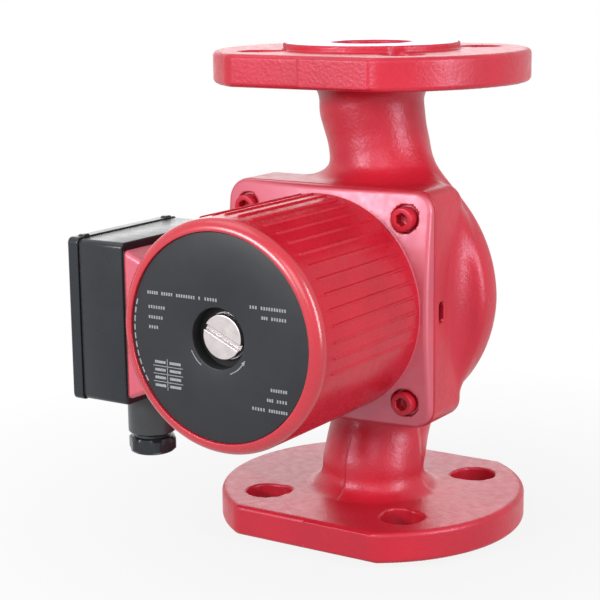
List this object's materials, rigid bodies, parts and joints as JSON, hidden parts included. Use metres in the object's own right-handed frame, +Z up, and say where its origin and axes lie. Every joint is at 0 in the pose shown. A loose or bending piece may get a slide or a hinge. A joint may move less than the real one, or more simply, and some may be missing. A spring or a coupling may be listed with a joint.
{
  "type": "circulator pump",
  "caption": "In-line flanged circulator pump with a red cast housing, a ribbed wet-rotor motor, a black side terminal box and a slotted vent plug.",
  "frame": {"origin": "centre of the lower port in the plane of its sealing face", "axes": "+Z up along the pipe axis to the upper port, -Y along the motor axis to its front, -X toward the terminal box"},
  "size_m": [0.1648, 0.1815, 0.22],
  "materials": {
    "housing_paint": "gloss red paint over a rough iron casting",
    "motor_paint": "gloss red paint over an aluminium casting",
    "screw_paint": "red paint over steel",
    "stainless": "pressed stainless steel",
    "lamination": "stacked steel sheet",
    "ceramic_white": "ground ceramic",
    "carbon": "ground carbon",
    "seal_rubber": "moulded black rubber",
    "winding_copper": "varnished copper wire",
    "label_black": "printed dark grey foil",
    "plug_nickel": "turned nickel-plated metal",
    "box_black": "moulded black plastic with a fine grain",
    "knob_black": "moulded black plastic",
    "insulator_pale": "moulded pale plastic",
    "screw_brass": "turned brass",
    "screw_zinc": "zinc-plated steel"
  },
  "bodies": {
    "pump_body": {"pump_housing": "housing_paint", "wear_ring": "stainless", "housing_gasket": "seal_rubber", "bearing_plate": "stainless", "rear_bearing": "ceramic_white", "rotor_can": "stainless", "front_bearing": "ceramic_white", "stator_core": "lamination", "stator_winding": "winding_copper", "stator_housing": "motor_paint", "name_plate": "label_black", "motor_screws": "screw_paint", "pad_gasket": "seal_rubber", "terminal_box": "box_black", "box_screws": "screw_zinc", "earth_screw": "screw_brass", "cover_gasket": "seal_rubber", "terminal_cover": "box_black", "cover_screws": "screw_zinc", "terminal_block": "insulator_pale", "terminal_screws": "screw_brass", "capacitor": "knob_black", "speed_switch": "insulator_pale", "lead_grommet": "seal_rubber", "stator_leads": "winding_copper", "gland_body": "box_black", "gland_locknut": "box_black", "gland_seal": "seal_rubber"},
    "rotor": {"shaft": "ceramic_white", "lock_sleeve": "stainless", "impeller": "stainless", "rotor_core": "lamination", "thrust_bearing": "carbon", "thrust_retainer": "seal_rubber"},
    "vent_seal_body": {"vent_seal": "seal_rubber"},
    "vent_plug_body": {"vent_plug": "plug_nickel"},
    "knob_body": {"speed_knob": "knob_black"},
    "gland_washer_body": {"gland_washer": "insulator_pale"},
    "gland_nut_body": {"gland_nut": "box_black"}
  },
  "joints": [
    {"name": "rotor_spin", "type": "hinge", "parent": "pump_body", "child": "rotor", "pos_m": [0, -0.07, 0.11], "axis": [0, -1, 0], "continuous": true},
    {"name": "vent_lift", "type": "slide", "parent": "pump_body", "child": "vent_seal_body", "axis": [0, -1, 0], "range_m": [0, 0.0045]},
    {"name": "vent_turn", "type": "hinge", "parent": "vent_seal_body", "child": "vent_plug_body", "pos_m": [0, -0.116, 0.11], "axis": [0, -1, 0], "range_deg": [0, 1080]},
    {"name": "speed_select", "type": "hinge", "parent": "pump_body", "child": "knob_body", "pos_m": [-0.09, -0.0722, 0.112], "axis": [-1, 0, 0], "range_deg": [-60, 60]},
    {"name": "gland_lift", "type": "slide", "parent": "pump_body", "child": "gland_washer_body", "axis": [0, 0, -1], "range_m": [0, 0.003]},
    {"name": "gland_turn", "type": "hinge", "parent": "gland_washer_body", "child": "gland_nut_body", "pos_m": [-0.0696, -0.0754, 0.045], "axis": [0, 0, -1], "range_deg": [0, 720]}
  ],
  "couplings": [
    {"joint": "vent_lift", "follows": "vent_turn", "m_per_rad": 0.00023873},
    {"joint": "gland_lift", "follows": "gland_turn", "m_per_rad": 0.00023873}
  ]
}
